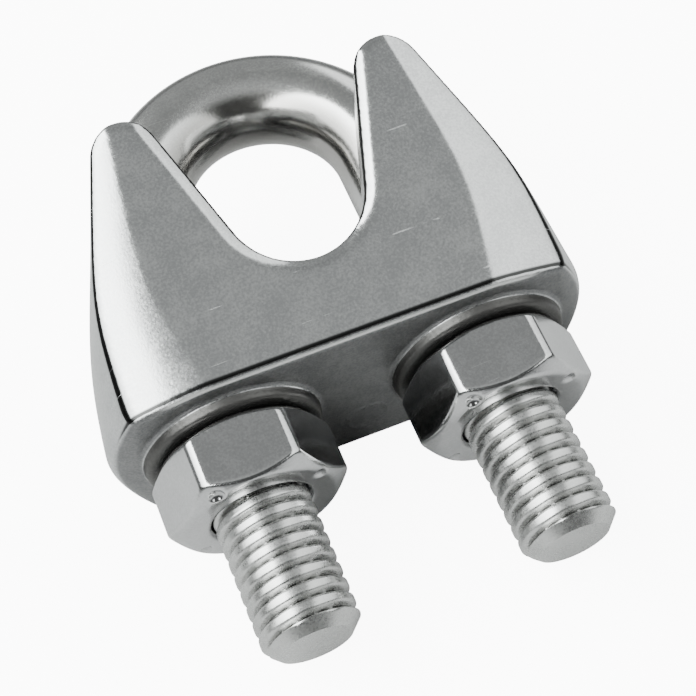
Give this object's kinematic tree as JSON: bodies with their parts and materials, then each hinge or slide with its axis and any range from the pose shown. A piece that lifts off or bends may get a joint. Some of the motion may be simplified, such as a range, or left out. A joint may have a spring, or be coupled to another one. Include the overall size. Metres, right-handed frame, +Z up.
{
  "type": "wire rope clip",
  "caption": "Stainless wire rope clip: cast saddle with horns, a threaded U-bolt and hexagon nuts that draw the bow onto the rope.",
  "frame": {"origin": "on the ground under the middle of the clip's bounding box, with the clip lying on the flat back face of its saddle", "axes": "+Z up from that back face; +X from the left leg to the right leg; +Y towards the bow, with both legs rising 13.17 degrees towards it because the saddle's walls flare"},
  "size_m": [0.0308, 0.0399, 0.0213],
  "materials": {
    "saddle_steel": "investment-cast stainless, satin-polished faces with bright rounded edges",
    "bolt_steel": "bright drawn stainless rod with rolled threads",
    "nut_steel": "polished stainless with tumbled corners"
  },
  "bodies": {
    "saddle": {"saddle": "saddle_steel"},
    "u_bolt": {"u_bolt": "bolt_steel"},
    "nut_left": {"nut_left": "nut_steel"},
    "nut_right": {"nut_right": "nut_steel"}
  },
  "joints": [
    {"name": "bolt_draw", "type": "slide", "parent": "saddle", "child": "u_bolt", "axis": [0, -0.9737, -0.2278], "range_m": [-0.008, 0.003]},
    {"name": "nut_left_turn", "type": "hinge", "parent": "saddle", "child": "nut_left", "pos_m": [-0.008, -0.00894, 0.00608], "axis": [0, 0.9737, 0.2278], "range_deg": [-2880.1, 1080.1]},
    {"name": "nut_right_turn", "type": "hinge", "parent": "saddle", "child": "nut_right", "pos_m": [0.008, -0.00894, 0.00608], "axis": [0, 0.9737, 0.2278], "range_deg": [-2880.1, 1080.1]}
  ],
  "couplings": [
    {"joint": "nut_left_turn", "follows": "bolt_draw", "rad_per_m": 6283.2},
    {"joint": "nut_right_turn", "follows": "bolt_draw", "rad_per_m": 6283.2}
  ]
}
